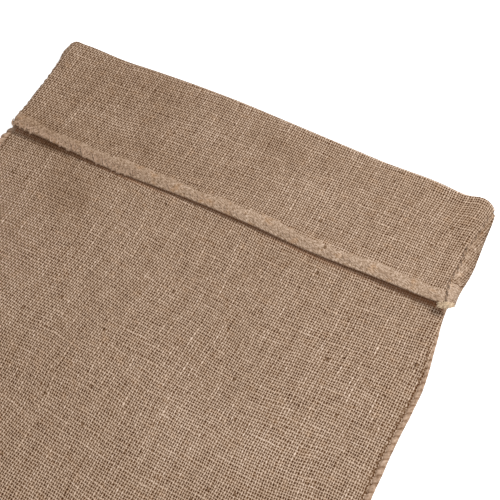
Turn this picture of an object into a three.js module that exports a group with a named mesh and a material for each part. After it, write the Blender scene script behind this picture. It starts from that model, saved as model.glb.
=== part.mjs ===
import * as THREE from 'three';

// An empty jute sack, lying flat, its mouth end folded over forwards once as a flap.
//
// Sizes are in millimetres and +Z is up. +Y points from the sack's bottom towards its mouth end.
// "x" is measured across, from the sack's centre line. "down" is measured along the sack, from the
// flap's fold towards the sack's bottom. Heights are above the surface that the sack lies on.

// ---------------------------------------------------------------- driving sizes

const SACK_LENGTH = 800; // bottom to mouth, as sewn
const FLAP_DEPTH = 131; // the part of that length which is folded over forwards
const BODY_LENGTH = SACK_LENGTH - FLAP_DEPTH; // bottom to the flap's fold
const CLOTH = 1.2; // thickness of one layer of hessian
const LAYER_STEP = 1.6; // middle of one layer to the middle of the next where they press together
const HEM_TURN = 13; // how far each mouth edge is turned in
const CLEARANCE = 0.3; // between the cloth and the seams that are sewn to it

const CORNER_LEFT = 14; // rounding of the flap's fold at its two ends
const CORNER_RIGHT = 20;
const CORNER_BOTTOM = 8; // rounding of the sack's two bottom corners

const FOLD_SPRING = 1.8; // how far the folded layers stand open at the fold
const SPRING_REACH = 60; // where they have closed again, down the flap
const LIFT_START = 20; // where the flap starts to lift off the body
const RISE_FADE = 60; // over which the body's soft rises fade out at its two ends
const PUFF_FADE = 30; // over which the flap's soft rises fade out at the fold
const HEM_RAMP = 26; // length over which the flap's face climbs onto its hem
const RIGHT_SEAM_ROOM = 1.9; // how far the front layer rises over the right seam below the flap
const LEFT_SEAM_ROOM = 1.7; // how far the flap's outer layer rises over the left seam

// Where those layers climb: across the sack, and down it where the room starts and ends.
const OVER_RIGHT_SEAM = { foot: 212, top: 236, startFoot: 100, startTop: 116, endTop: 190, endFoot: 214 };
const OVER_LEFT_SEAM = { foot: -225, top: -243, startFoot: 8, startTop: 24 };

const SEAM_HEIGHT = 2.8; // thickness of the overlocked seam along the body
const SEAM_SIDES = 8; // sides of its round section
const FLAP_SEAM_HEIGHT = 2.2; // the same seam where it is pressed flat on or under the flap

// ---------------------------------------------------------------- tables

// Across the sack: how far down from a straight line the crest of the flap's fold lies.
const FOLD_CREST = [
  { x: -250, down: -3.4 },
  { x: -225, down: -3.3 },
  { x: -186, down: -2.2 },
  { x: -150, down: -3.9 },
  { x: -113, down: -5.8 },
  { x: -77, down: -6.8 },
  { x: -41, down: -7 },
  { x: -5, down: -6.1 },
  { x: 42, down: -4.8 },
  { x: 89, down: -3.5 },
  { x: 123, down: -2.6 },
  { x: 146, down: -3.2 },
  { x: 172, down: -4.1 },
  { x: 190, down: -3.5 },
  { x: 212, down: -1.9 },
  { x: 221, down: -3.5 },
  { x: 229, down: -5.9 },
  { x: 250, down: -6 },
];

// Across the sack: how far down from a straight line the flap's lower edge lies, and how far that
// edge stands off the body.
const LOWER_EDGE = [
  { x: -250, down: -1.5, lift: 2.2 },
  { x: -215, down: -1, lift: 2.1 },
  { x: -180, down: -1, lift: 1.1 },
  { x: -130, down: 1.5, lift: 0.4 },
  { x: -90, down: 0.8, lift: 0.2 },
  { x: -35, down: -0.5, lift: 0.2 },
  { x: 35, down: -0.5, lift: 0.3 },
  { x: 100, down: 1.5, lift: 0.3 },
  { x: 150, down: 0, lift: 0.5 },
  { x: 200, down: -1.5, lift: 0.8 },
  { x: 229, down: -1.5, lift: 1.2 },
  { x: 250, down: -3, lift: 1.3 },
];

// Down the body: where the back and front layers end at each side. Just below the flap the front
// layer reaches over the right seam, and further down the seam lies outside both layers.
const BODY_EDGES = [
  { down: 0, left: -243.5, back: 242, front: 242 },
  { down: 18, left: -243, back: 237.5, front: 237.5 },
  { down: 40, left: -243, back: 237, front: 237 },
  { down: 112, left: -243, back: 236, front: 236 },
  { down: 124, left: -243.2, back: 236, front: 239 },
  { down: 136, left: -245.6, back: 236, front: 242 },
  { down: 146, left: -247, back: 236.4, front: 243.5 },
  { down: 170, left: -246.8, back: 237.4, front: 245.5 },
  { down: 188, left: -246.6, back: 240.6, front: 246 },
  { down: 205, left: -246.4, back: 244.8, front: 245.2 },
  { down: 230, left: -246.2, back: 244.6, front: 244.8 },
  { down: 290, left: -246, back: 241, front: 241 },
  { down: BODY_LENGTH, left: -246, back: 241, front: 241 },
];

// Down the flap: where its two layers end at each side.
const FLAP_EDGES = [
  { down: 0, innerLeft: -243, outerLeft: -251.2, innerRight: 242, outerRight: 242.4 },
  { down: 10, innerLeft: -243, outerLeft: -253.6, innerRight: 242, outerRight: 242.8 },
  { down: 24, innerLeft: -243, outerLeft: -251, innerRight: 244, outerRight: 247 },
  { down: 48, innerLeft: -243, outerLeft: -249.2, innerRight: 245, outerRight: 248.4 },
  { down: 70, innerLeft: -243, outerLeft: -249.6, innerRight: 246, outerRight: 249.5 },
  { down: 115, innerLeft: -243, outerLeft: -249.3, innerRight: 245, outerRight: 247 },
  { down: FLAP_DEPTH, innerLeft: -242, outerLeft: -247.4, innerRight: 244, outerRight: 246 },
];

// Soft rises of the body's front layer: centre, half-lengths, turn in degrees and height.
const BODY_RISES = [
  { x: 150, down: 235, across: 70, along: 75, turn: 20, height: 1.6 },
  { x: -150, down: 210, across: 60, along: 45, turn: -25, height: 1.1 },
  { x: -60, down: 330, across: 95, along: 50, turn: 15, height: 1.4 },
  { x: 120, down: 420, across: 60, along: 90, turn: -10, height: 1.2 },
  { x: -140, down: 500, across: 80, along: 70, turn: 30, height: 1.3 },
];

// Soft rises of the flap's outer layer over its inner one.
const FLAP_RISES = [
  { x: -205, down: 60, across: 38, along: 42, turn: 0, height: 0.9 },
  { x: -60, down: 70, across: 75, along: 30, turn: 5, height: 0.8 },
  { x: 120, down: 62, across: 60, along: 34, turn: -8, height: 1 },
];

// The right seam, from the bottom corner up the body's edge.
const RIGHT_SEAM_BODY = [
  { down: BODY_LENGTH - 5, x: 245.2, width: 7.4 },
  { down: 560, x: 245.4, width: 7.4 },
  { down: 420, x: 245.2, width: 7.4 },
  { down: 290, x: 245.2, width: 7.4 },
  { down: 250, x: 247.6, width: 6.4 },
  { down: 218, x: 249, width: 6 },
  { down: 202, x: 248.8, width: 5.4 },
  { down: 186, x: 244.6, width: 5 },
  { down: 168, x: 241.4, width: 5 },
  { down: 140, x: 239.8, width: 5 },
  { down: 110, x: 240, width: 5 },
  { down: 60, x: 241, width: 5 },
  { down: 26, x: 243, width: 5 },
  { down: 9, x: 245.8, width: 4.6 },
];

// The right seam where it passes round the end of the fold, beside the cloth.
const RIGHT_SEAM_FOLD = [
  { down: 4.5, x: 245.8, width: 4.4, z: 2 },
  { down: 2.6, x: 245.9, width: 4.4, z: 4 },
  { down: 3, x: 245.9, width: 4.4, z: 6.2 },
  { down: 6, x: 245.9, width: 4.6, z: 8 },
];

// The right seam on the flap's face, down to its tip at the flap's lower corner.
const RIGHT_SEAM_FLAP = [
  { down: 13, x: 246, width: 5.4 },
  { down: 21, x: 246, width: 6.4 },
  { down: 35, x: 245.8, width: 7.6 },
  { down: 49, x: 244.8, width: 10.6 },
  { down: 60, x: 243.6, width: 13.4 },
  { down: 78, x: 244, width: 13.4 },
  { down: 90, x: 243.2, width: 13.8 },
  { down: 101, x: 241.6, width: 14.8 },
  { down: 110, x: 242.2, width: 12.2 },
  { down: 119, x: 242.6, width: 10 },
  { down: 128, x: 244.4, width: 8 },
];

// The left seam, from the bottom corner up the body's edge and on under the flap.
const LEFT_SEAM_BODY = [
  { down: BODY_LENGTH - 5, x: -250.2, width: 7.4 },
  { down: 560, x: -250.4, width: 7.4 },
  { down: 420, x: -250.2, width: 7.4 },
  { down: 300, x: -250.4, width: 7.6 },
  { down: 200, x: -251, width: 8 },
  { down: 146, x: -251.6, width: 8.2 },
  { down: 134, x: -249.8, width: 7 },
  { down: 120, x: -246.6, width: 6 },
  { down: 70, x: -246.4, width: 5.6 },
  { down: 26, x: -246.6, width: 5.2 },
];

// The left seam where it turns back inside the fold, and then lies under the flap's left edge.
const LEFT_SEAM_FOLD = [
  { down: 21.4, x: -246.7, width: 5, z: 1.9 },
  { down: 20.2, x: -246.7, width: 5, z: 3.3 },
  { down: 21.4, x: -246.7, width: 5, z: 4.7 },
];
const LEFT_SEAM_FLAP = [
  { down: 26, x: -246.8, width: 5.2 },
  { down: 56, x: -246.8, width: 5.4 },
  { down: 82, x: -246.8, width: 5.6 },
  { down: 98, x: -246.8, width: 5.6 },
  { down: 112, x: -246.8, width: 5.6 },
  { down: 123, x: -246.4, width: 5.2 },
];

// ---------------------------------------------------------------- reading the tables

const clamp01 = (value) => Math.min(1, Math.max(0, value));
const mix = (from, to, share) => from + (to - from) * share;

// 0 below the first place, 1 above the second, and a soft S between them.
function ease(first, second, place) {
  const share = clamp01((place - first) / (second - first));
  return share * share * (3 - 2 * share);
}

// One column of a table, read at a place between its rows. The curve passes through every row.
function read(rows, key, column, place) {
  const last = rows.length - 1;
  if (place <= rows[0][key]) return rows[0][column];
  if (place >= rows[last][key]) return rows[last][column];
  let next = 1;
  while (rows[next][key] < place) next += 1;
  const from = rows[next - 1];
  const to = rows[next];
  const span = to[key] - from[key];
  const slopeAt = (row) => {
    const before = rows[Math.max(0, row - 1)];
    const after = rows[Math.min(last, row + 1)];
    return (after[column] - before[column]) / (after[key] - before[key]);
  };
  const t = (place - from[key]) / span;
  const rise = to[column] - from[column];
  const startSlope = slopeAt(next - 1) * span;
  const endSlope = slopeAt(next) * span;
  const bend = 3 * rise - 2 * startSlope - endSlope;
  const twist = startSlope + endSlope - 2 * rise;
  return from[column] + t * (startSlope + t * (bend + t * twist));
}

// The sum of a table's soft rises at one place.
function rises(rows, x, down) {
  let height = 0;
  for (const row of rows) {
    const turn = THREE.MathUtils.degToRad(row.turn);
    const dx = x - row.x;
    const dd = down - row.down;
    const across = (dx * Math.cos(turn) + dd * Math.sin(turn)) / row.across;
    const along = (dd * Math.cos(turn) - dx * Math.sin(turn)) / row.along;
    height += row.height * Math.exp(-across * across - along * along);
  }
  return height;
}

// How far a corner of the given radius pulls the cloth's end in, at a distance from its side edge.
function cornerPull(radius, fromEdge) {
  const inside = radius - clamp01(fromEdge / radius) * radius;
  return radius - Math.sqrt(radius * radius - inside * inside);
}

// ---------------------------------------------------------------- lines of the folded sack

const LEFT_EDGE = -254;
const RIGHT_EDGE = 250;

function foldLine(x) {
  const left = cornerPull(CORNER_LEFT, x - LEFT_EDGE);
  const right = cornerPull(CORNER_RIGHT, RIGHT_EDGE - x);
  return read(FOLD_CREST, 'x', 'down', x) + left + right;
}

function hemLine(x) {
  return FLAP_DEPTH + read(LOWER_EDGE, 'x', 'down', x);
}

function bottomLine(x) {
  const left = cornerPull(CORNER_BOTTOM, x - LEFT_EDGE);
  const right = cornerPull(CORNER_BOTTOM, RIGHT_EDGE - x);
  return BODY_LENGTH - left - right;
}

// ---------------------------------------------------------------- heights of the layers' middles

const BACK_HEIGHT = CLOTH / 2;

function frontHeight(x, down) {
  const seam = OVER_RIGHT_SEAM;
  const start = ease(seam.startFoot, seam.startTop, down);
  const end = ease(seam.endFoot, seam.endTop, down);
  const room = RIGHT_SEAM_ROOM * ease(seam.foot, seam.top, x) * start * end;
  const fade = ease(0, RISE_FADE, down) * ease(BODY_LENGTH, BODY_LENGTH - RISE_FADE, down);
  return BACK_HEIGHT + LAYER_STEP + rises(BODY_RISES, x, down) * fade + room;
}

function innerHeight(x, down) {
  const spring = FOLD_SPRING * ease(SPRING_REACH, 0, down);
  const lift = read(LOWER_EDGE, 'x', 'lift', x) * ease(LIFT_START, FLAP_DEPTH, down);
  return frontHeight(x, down) + LAYER_STEP + spring + lift;
}

function outerHeight(x, down) {
  const seam = OVER_LEFT_SEAM;
  const room = LEFT_SEAM_ROOM * ease(seam.foot, seam.top, x) * ease(seam.startFoot, seam.startTop, down);
  const onHem = 2 * LAYER_STEP * ease(FLAP_DEPTH - HEM_TURN - HEM_RAMP, FLAP_DEPTH - HEM_TURN, down);
  const puff = rises(FLAP_RISES, x, down) * ease(0, PUFF_FADE, down);
  return innerHeight(x, down) + LAYER_STEP + onHem + room + puff;
}

const LAYERS = {
  back: () => BACK_HEIGHT,
  front: frontHeight,
  inner: innerHeight,
  outer: outerHeight,
  innerTurn: (x, down) => innerHeight(x, down) + LAYER_STEP,
  outerTurn: (x, down) => outerHeight(x, down) - LAYER_STEP,
};

// Where each layer ends at its left and right, at a distance down the sack.
const EDGES = {
  back: (down) => [read(BODY_EDGES, 'down', 'left', down), read(BODY_EDGES, 'down', 'back', down)],
  front: (down) => [read(BODY_EDGES, 'down', 'left', down), read(BODY_EDGES, 'down', 'front', down)],
  inner: (down) => [
    read(FLAP_EDGES, 'down', 'innerLeft', down),
    read(FLAP_EDGES, 'down', 'innerRight', down),
  ],
  outer: (down) => [
    read(FLAP_EDGES, 'down', 'outerLeft', down),
    read(FLAP_EDGES, 'down', 'outerRight', down),
  ],
};
EDGES.innerTurn = EDGES.inner;
EDGES.outerTurn = EDGES.inner;

// ---------------------------------------------------------------- the cloth's path through the fold

// Where the bends have their centres: the two bends at the flap's fold share one.
function foldCentre(x) {
  const down = foldLine(x);
  return down + CLOTH / 2 + (outerHeight(x, down) - BACK_HEIGHT) / 2;
}

function bottomCentre(x) {
  const down = bottomLine(x);
  return down - CLOTH / 2 - (frontHeight(x, down) - BACK_HEIGHT) / 2;
}

const hemCentre = (x) => hemLine(x) - CLOTH / 2 - LAYER_STEP / 2;
const innerHemCentre = (x) => hemCentre(x) - CLOTH;
const turnEnd = (x) => hemLine(x) - HEM_TURN;

// Distances down the sack at which the body and the flap have a row of points.
const BODY_TOP_PLACES = [18, 40, 70, 100, 112, 124, 136, 146, 158, 170, 180, 188, 197, 205, 217];
const BODY_PLACES = [...BODY_TOP_PLACES, 230, 260, 290, 340, 400, 460, 520, 580, 630];
const INNER_PLACES = [22, 40, 60, 80, 98, 108, 118];
const OUTER_PLACES = [18, 28, 42, 56, 70, 82, 92, 98, 105, 112, 118, 124];

// The cloth from one mouth edge to the other. A straight row runs in one layer between two lines, and
// a bend row joins two layers round a centre, bulging up the sack (-1) or down it (+1).
const PATH = [
  { layer: 'innerTurn', from: turnEnd, places: [], to: innerHemCentre },
  { bendFrom: 'innerTurn', bendTo: 'inner', centre: innerHemCentre, bulge: 1, steps: 4 },
  { layer: 'inner', from: innerHemCentre, places: [...INNER_PLACES].reverse(), to: foldCentre },
  { bendFrom: 'inner', bendTo: 'front', centre: foldCentre, bulge: -1, steps: 4 },
  { layer: 'front', from: foldCentre, places: BODY_PLACES, to: bottomCentre },
  { bendFrom: 'front', bendTo: 'back', centre: bottomCentre, bulge: 1, steps: 4 },
  { layer: 'back', from: bottomCentre, places: [...BODY_PLACES].reverse(), to: foldCentre },
  { bendFrom: 'back', bendTo: 'outer', centre: foldCentre, bulge: -1, steps: 8 },
  { layer: 'outer', from: foldCentre, places: OUTER_PLACES, to: hemCentre },
  { bendFrom: 'outer', bendTo: 'outerTurn', centre: hemCentre, bulge: 1, steps: 4 },
  { layer: 'outerTurn', from: hemCentre, places: [], to: turnEnd },
];

// Columns across the cloth, closer together near its edges: shares of its width from the left.
const LEFT_COLUMNS = [0, 0.008, 0.02, 0.045, 0.1, 0.2, 0.32, 0.44];
const RIGHT_COLUMNS = [0.56, 0.68, 0.8, 0.88, 0.93, 0.955, 0.975, 0.988, 1];
const COLUMNS = [...LEFT_COLUMNS, ...RIGHT_COLUMNS];

function straightPoint(row, line, column) {
  const middleDown = typeof line === 'function' ? line(0) : line;
  const [left, right] = EDGES[row.layer](middleDown);
  const x = mix(left, right, column);
  const down = typeof line === 'function' ? line(x) : line;
  return new THREE.Vector3(x, -down, LAYERS[row.layer](x, down));
}

function bendPoint(row, share, column) {
  const centreLine = row.centre(0);
  const [startLeft, startRight] = EDGES[row.bendFrom](centreLine);
  const [endLeft, endRight] = EDGES[row.bendTo](centreLine);
  const soft = ease(0, 1, share);
  const x = mix(mix(startLeft, endLeft, soft), mix(startRight, endRight, soft), column);
  const down = row.centre(x);
  const start = LAYERS[row.bendFrom](x, down);
  const end = LAYERS[row.bendTo](x, down);
  const radius = Math.abs(end - start) / 2;
  const angle = Math.PI * share;
  const bulge = row.bulge * radius * Math.sin(angle);
  return new THREE.Vector3(x, -(down + bulge), mix(start, end, (1 - Math.cos(angle)) / 2));
}

// The middle surface of the cloth, a row of points across it for each step of its path. A bend gives
// its own two ends, so the straight rows next to it leave theirs out.
function middleSurface() {
  const grid = [];
  PATH.forEach((row, index) => {
    if (row.layer) {
      const lines = [...row.places];
      if (index === 0) lines.unshift(row.from);
      if (index === PATH.length - 1) lines.push(row.to);
      lines.forEach((line) => grid.push(COLUMNS.map((column) => straightPoint(row, line, column))));
    } else {
      for (let step = 0; step <= row.steps; step += 1) {
        grid.push(COLUMNS.map((column) => bendPoint(row, step / row.steps, column)));
      }
    }
  });
  return grid;
}

// ---------------------------------------------------------------- solids

function meshFrom(name, material, positions, triangles) {
  const geometry = new THREE.BufferGeometry();
  geometry.setAttribute('position', new THREE.Float32BufferAttribute(positions, 3));
  geometry.setIndex(triangles);
  geometry.computeVertexNormals();
  const mesh = new THREE.Mesh(geometry, material);
  mesh.name = name;
  return mesh;
}

// A sheet of even thickness on both sides of a grid of points, closed round its rim.
function sheetSolid(name, material, grid, thickness) {
  const rows = grid.length;
  const columns = grid[0].length;
  const sides = [1, -1].map((side) => grid.map((line, i) => line.map((point, j) => {
    const along = grid[Math.min(rows - 1, i + 1)][j].clone().sub(grid[Math.max(0, i - 1)][j]);
    const across = line[Math.min(columns - 1, j + 1)].clone().sub(line[Math.max(0, j - 1)]);
    const normal = along.cross(across).normalize();
    return point.clone().addScaledVector(normal, (side * thickness) / 2);
  })));
  const positions = sides.flat(2).flatMap((point) => point.toArray());
  const triangles = [];
  const quad = (a, b, c, d) => triangles.push(a, b, c, a, c, d);
  const at = (side, i, j) => (side * rows + i) * columns + j;
  for (let i = 0; i < rows - 1; i += 1) {
    for (let j = 0; j < columns - 1; j += 1) {
      quad(at(0, i, j), at(0, i + 1, j), at(0, i + 1, j + 1), at(0, i, j + 1));
      quad(at(1, i, j), at(1, i, j + 1), at(1, i + 1, j + 1), at(1, i + 1, j));
    }
    quad(at(0, i, 0), at(1, i, 0), at(1, i + 1, 0), at(0, i + 1, 0));
    const last = columns - 1;
    quad(at(0, i, last), at(0, i + 1, last), at(1, i + 1, last), at(1, i, last));
  }
  for (let j = 0; j < columns - 1; j += 1) {
    quad(at(0, 0, j), at(0, 0, j + 1), at(1, 0, j + 1), at(1, 0, j));
    const last = rows - 1;
    quad(at(0, last, j), at(1, last, j), at(1, last, j + 1), at(0, last, j + 1));
  }
  return meshFrom(name, material, positions, triangles);
}

// A welt along a path: each station has a centre, a width across the sack and a height.
function weltSolid(name, material, stations) {
  const positions = [];
  const triangles = [];
  const across = new THREE.Vector3(1, 0, 0);
  const ring = (station, side) => station * SEAM_SIDES + (side % SEAM_SIDES);
  stations.forEach((station, index) => {
    const before = stations[Math.max(0, index - 1)].centre;
    const after = stations[Math.min(stations.length - 1, index + 1)].centre;
    const tangent = after.clone().sub(before).setX(0).normalize();
    const upward = across.clone().cross(tangent).normalize();
    for (let side = 0; side < SEAM_SIDES; side += 1) {
      const angle = (2 * Math.PI * (side + 0.5)) / SEAM_SIDES;
      const point = station.centre.clone()
        .addScaledVector(across, (Math.cos(angle) * station.width) / 2)
        .addScaledVector(upward, (Math.sin(angle) * station.height) / 2);
      positions.push(...point.toArray());
    }
  });
  for (let station = 0; station < stations.length - 1; station += 1) {
    for (let side = 0; side < SEAM_SIDES; side += 1) {
      const a = ring(station, side);
      const b = ring(station + 1, side);
      const c = ring(station + 1, side + 1);
      const d = ring(station, side + 1);
      triangles.push(a, b, c, a, c, d);
    }
  }
  const last = stations.length - 1;
  for (let side = 1; side < SEAM_SIDES - 1; side += 1) {
    triangles.push(ring(0, 0), ring(0, side), ring(0, side + 1));
    triangles.push(ring(last, 0), ring(last, side + 1), ring(last, side));
  }
  return meshFrom(name, material, positions, triangles);
}

// ---------------------------------------------------------------- the seams' paths

const STATION_SPACING = 24; // longest step between two stations of a seam

// Stations along one table of a seam, in the table's order, with steps of about the same length.
function seamStations(rows, height, heightAt) {
  const ordered = [...rows].sort((a, b) => a.down - b.down);
  const places = [rows[0].down];
  for (let index = 1; index < rows.length; index += 1) {
    const from = rows[index - 1].down;
    const to = rows[index].down;
    const steps = Math.ceil(Math.abs(to - from) / STATION_SPACING);
    for (let step = 1; step <= steps; step += 1) places.push(mix(from, to, step / steps));
  }
  return places.map((down) => {
    const x = read(ordered, 'down', 'x', down);
    const width = read(ordered, 'down', 'width', down);
    return { centre: new THREE.Vector3(x, -down, heightAt(x, down)), width, height };
  });
}

function foldStations(rows, height) {
  return rows.map((row) => ({
    centre: new THREE.Vector3(row.x, -row.down, row.z),
    width: row.width,
    height,
  }));
}

// From what a seam lies on to its centre, and the little more that its straight steps need there.
const FULL = CLEARANCE + SEAM_HEIGHT / 2;
const PRESSED = CLEARANCE + FLAP_SEAM_HEIGHT / 2;
const STEP_ROOM = 0.3;
const LEFT_SEAM_PRESSED_TO = 30; // the left seam lies pressed inside the fold down to here,
const LEFT_SEAM_FULL_FROM = 130; // and is fully round from here on

function rightSeamStations() {
  const onFlap = (x, down) => outerHeight(x, down) + CLOTH / 2 + PRESSED + STEP_ROOM;
  return [
    ...seamStations(RIGHT_SEAM_BODY, SEAM_HEIGHT, () => FULL),
    ...foldStations(RIGHT_SEAM_FOLD, FLAP_SEAM_HEIGHT),
    ...seamStations(RIGHT_SEAM_FLAP, FLAP_SEAM_HEIGHT, onFlap),
  ];
}

function leftSeamStations() {
  const underFlap = (x, down) => outerHeight(x, down) - CLOTH / 2 - PRESSED - STEP_ROOM;
  const roundness = (down) => ease(LEFT_SEAM_PRESSED_TO, LEFT_SEAM_FULL_FROM, down);
  const bodyHeight = (x, down) => mix(PRESSED, FULL, roundness(down));
  return [
    ...seamStations(LEFT_SEAM_BODY, SEAM_HEIGHT, bodyHeight),
    ...foldStations(LEFT_SEAM_FOLD, FLAP_SEAM_HEIGHT),
    ...seamStations(LEFT_SEAM_FLAP, FLAP_SEAM_HEIGHT, underFlap),
  ];
}

// ---------------------------------------------------------------- materials and the sack

const hessian = new THREE.MeshStandardMaterial({ color: 0x9f8570, roughness: 0.95, metalness: 0 });
const juteYarn = new THREE.MeshStandardMaterial({ color: 0xa98b6b, roughness: 0.95, metalness: 0 });

const sack = new THREE.Group();
sack.add(sheetSolid('sack_cloth', hessian, middleSurface(), CLOTH));
sack.add(weltSolid('right_seam', juteYarn, rightSeamStations()));
sack.add(weltSolid('left_seam', juteYarn, leftSeamStations()));

// The origin is under the middle of the sack, on the surface that it lies on.
const extent = new THREE.Box3().setFromObject(sack);
const middle = extent.getCenter(new THREE.Vector3());
sack.position.set(-middle.x, -middle.y, 0);

export default sack;
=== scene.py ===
# %% [markdown]
# # A jute sack, empty and folded flat
#
# This lesson dresses a measured model of a jute sack. The real sack is one length of hessian, folded at
# the bottom and overlocked up both sides with jute yarn. It lies flat, and its mouth end is folded over
# forwards once as a flap. The measured model, the frame, already holds the true sizes. We only replace
# its plain solids with finer cloth, yarn and fibres, in the same place.

# %% Load the measured frame
import functools
import math

import bpy
import numpy as np
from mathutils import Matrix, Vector


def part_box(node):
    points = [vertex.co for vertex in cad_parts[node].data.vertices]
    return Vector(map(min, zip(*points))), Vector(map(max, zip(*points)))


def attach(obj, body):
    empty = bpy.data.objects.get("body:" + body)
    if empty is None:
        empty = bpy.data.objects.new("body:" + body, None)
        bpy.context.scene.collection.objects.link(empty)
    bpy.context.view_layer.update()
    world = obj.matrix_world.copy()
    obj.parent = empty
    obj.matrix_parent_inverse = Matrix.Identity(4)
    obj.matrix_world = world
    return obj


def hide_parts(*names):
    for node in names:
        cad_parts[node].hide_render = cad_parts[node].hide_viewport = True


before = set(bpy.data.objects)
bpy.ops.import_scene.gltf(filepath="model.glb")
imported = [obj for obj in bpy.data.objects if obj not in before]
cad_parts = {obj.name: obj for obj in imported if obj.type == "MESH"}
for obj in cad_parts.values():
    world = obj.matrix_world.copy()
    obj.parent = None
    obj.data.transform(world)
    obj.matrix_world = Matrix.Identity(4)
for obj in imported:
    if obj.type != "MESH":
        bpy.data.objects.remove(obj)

scene = bpy.context.scene
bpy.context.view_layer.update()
print("nodes in the frame:", sorted(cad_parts))

# %% [markdown]
# ## Sizes
#
# Jute sacks are sold by their flat size, here 50 by 80 cm. All lengths below are millimetres, as a sack
# maker would write them, and MM turns them into Blender's metres. "x" is measured across from the centre
# line, and "down" along the sack, from the flap's fold towards the bottom.

# %% Driving sizes
MM = 0.001
SACK_WIDTH, SACK_LENGTH = 500, 800
FLAP_DEPTH, HEM_TURN = 131, 13
BODY_LENGTH = SACK_LENGTH - FLAP_DEPTH
# The cloth's own thickness, and how far each layer stands above the one under it.
CLOTH, LAYER_STEP = 1.2, 1.6
# From warp to warp, from weft to weft, and from stitch to stitch of the overlock.
WARP_PITCH, WEFT_PITCH, STITCH_PITCH = 2.31, 2.88, 8.3

# The frame's origin is under the middle of the sack. The measured cloth's lower end and its right side,
# which is this far from the centre line, give the shift to it.
CLOTH_RIGHT = 249.5
cloth_low, cloth_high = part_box("sack_cloth")
FOLD_Y = cloth_low.y / MM + BODY_LENGTH
CENTRE_X = cloth_high.x / MM - CLOTH_RIGHT
print(f"fold line at y = {FOLD_Y:.1f} mm, centre line at x = {CENTRE_X:.1f} mm")


def place(x, down, z):
    """Metres in the frame for a point given in the sack's own millimetres."""
    return Vector(((x + CENTRE_X) * MM, (FOLD_Y - down) * MM, z * MM))


# %% [markdown]
# ## Camera, floor and light
#
# The sack lies on white paper. The camera looks down at it steeply, from its right. Matt cloth shows its
# weave best in soft light, so one softbox stands beyond the fold, a wider and weaker one stands at the
# sack's other end, and a pale sky fills the shadows. The Standard view transform keeps the paper white
# and the jute as brown as its colours say.

# %% Camera
# Where the camera looks (across, down, up), from which direction in degrees, and how far from there it is.
AIM = (43.84, 153.8, 6)
AZIMUTH, ELEVATION = 26.03, 60.49
CAMERA_DISTANCE = 1059.6
# Its focal length in pixels of a square frame, which the sensor's width turns into a lens.
FOCAL_PX, FRAME_PX, SENSOR = 1068.3, 500, 36.0


def stand(name, data, location, facing):
    """A camera or a lamp that stands at a place and faces one way."""
    thing = bpy.data.objects.new(name, data)
    thing.location = location
    thing.rotation_mode = "QUATERNION"
    thing.rotation_quaternion = facing.to_track_quat("-Z", "Y")
    scene.collection.objects.link(thing)
    return thing


turn, tilt = math.radians(AZIMUTH), math.radians(ELEVATION)
away = Vector((math.sin(turn) * math.cos(tilt), -math.cos(turn) * math.cos(tilt), math.sin(tilt)))
lens = bpy.data.cameras.new("camera")
lens.sensor_width = SENSOR
lens.lens = FOCAL_PX / FRAME_PX * SENSOR
lens.clip_start = 0.01
scene.camera = stand("camera", lens, place(*AIM) + away * CAMERA_DISTANCE * MM, -away)
print(f"lens {lens.lens:.1f} mm")


# %% Colours and nodes
def linear(hexcode):
    """The linear colour of an sRGB hex value."""
    parts = [int(hexcode[i : i + 2], 16) / 255 for i in (1, 3, 5)]
    return tuple(c / 12.92 if c <= 0.04045 else ((c + 0.055) / 1.055) ** 2.4 for c in parts) + (1.0,)


def add_node(tree, kind, links=None, **settings):
    """Adds a node. A kind in capitals, such as "ADD", is a Math node's operation. Links go to the inputs in
    order, or by name. Each is a number, a colour, a node (its first output) or (node, output)."""
    if kind.isupper():
        kind, settings = "Math", {"operation": kind}
    node = tree.nodes.new("ShaderNode" + kind)
    for key, value in settings.items():
        setattr(node, key, value)
    if not isinstance(links, dict):
        links = dict(enumerate(links or ()))
    for key, value in links.items():
        if isinstance(value, bpy.types.Node):
            value = (value, 0)
        if isinstance(value, tuple) and isinstance(value[0], bpy.types.Node):
            tree.links.new(value[0].outputs[value[1]], node.inputs[key])
        else:
            node.inputs[key].default_value = value
    return node


def new_material(name):
    """A material without nodes, and add_node made ready for its node tree."""
    material = bpy.data.materials.new(name)
    material.use_nodes = True
    material.node_tree.nodes.clear()
    return material, functools.partial(add_node, material.node_tree)


def uneven(add, where, stretch, detail):
    """Soft noise at a place, which is stretched by a factor for each axis."""
    where = add("VectorMath", (where, stretch), operation="MULTIPLY")
    return add("TexNoise", {"Vector": where, "Scale": 1.0, "Detail": detail})


def between(value, least, most, low=0.0, high=1.0):
    """What a Map Range node needs to turn a value from least to most into one from low to high."""
    return {"Value": value, "From Min": least, "From Max": most, "To Min": low, "To Max": high}


# %% Floor and light
scene.view_settings.view_transform = "Standard"

# Matt white paper. A little light of its own stands for a lit backdrop, and keeps it white at the edges.
paper, add = new_material("white_paper_matt")
glow = {"Emission Color": (1, 1, 1, 1), "Emission Strength": 0.35}
shader = add("BsdfPrincipled", {"Base Color": linear("#fafafa"), "Roughness": 0.9, **glow})
add("OutputMaterial", {"Surface": shader})
floor_mesh = bpy.data.meshes.new("floor")
FLOOR_HALF = 30.0  # metres, so that its edge lies beyond the horizon of a low view
corners = [(x * FLOOR_HALF, y * FLOOR_HALF, 0) for x, y in ((-1, -1), (1, -1), (1, 1), (-1, 1))]
floor_mesh.from_pydata(corners, [], [(0, 1, 2, 3)])
floor_mesh.materials.append(paper)
floor = bpy.data.objects.new("floor", floor_mesh)
scene.collection.objects.link(floor)

world = bpy.data.worlds.new("studio")
scene.world = world
world.use_nodes = True
sky = world.node_tree.nodes["Background"]
sky.inputs["Color"].default_value = linear("#fdfdff")
sky.inputs["Strength"].default_value = 0.7
LIT_POINT = place(0, 200, 0)


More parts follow.
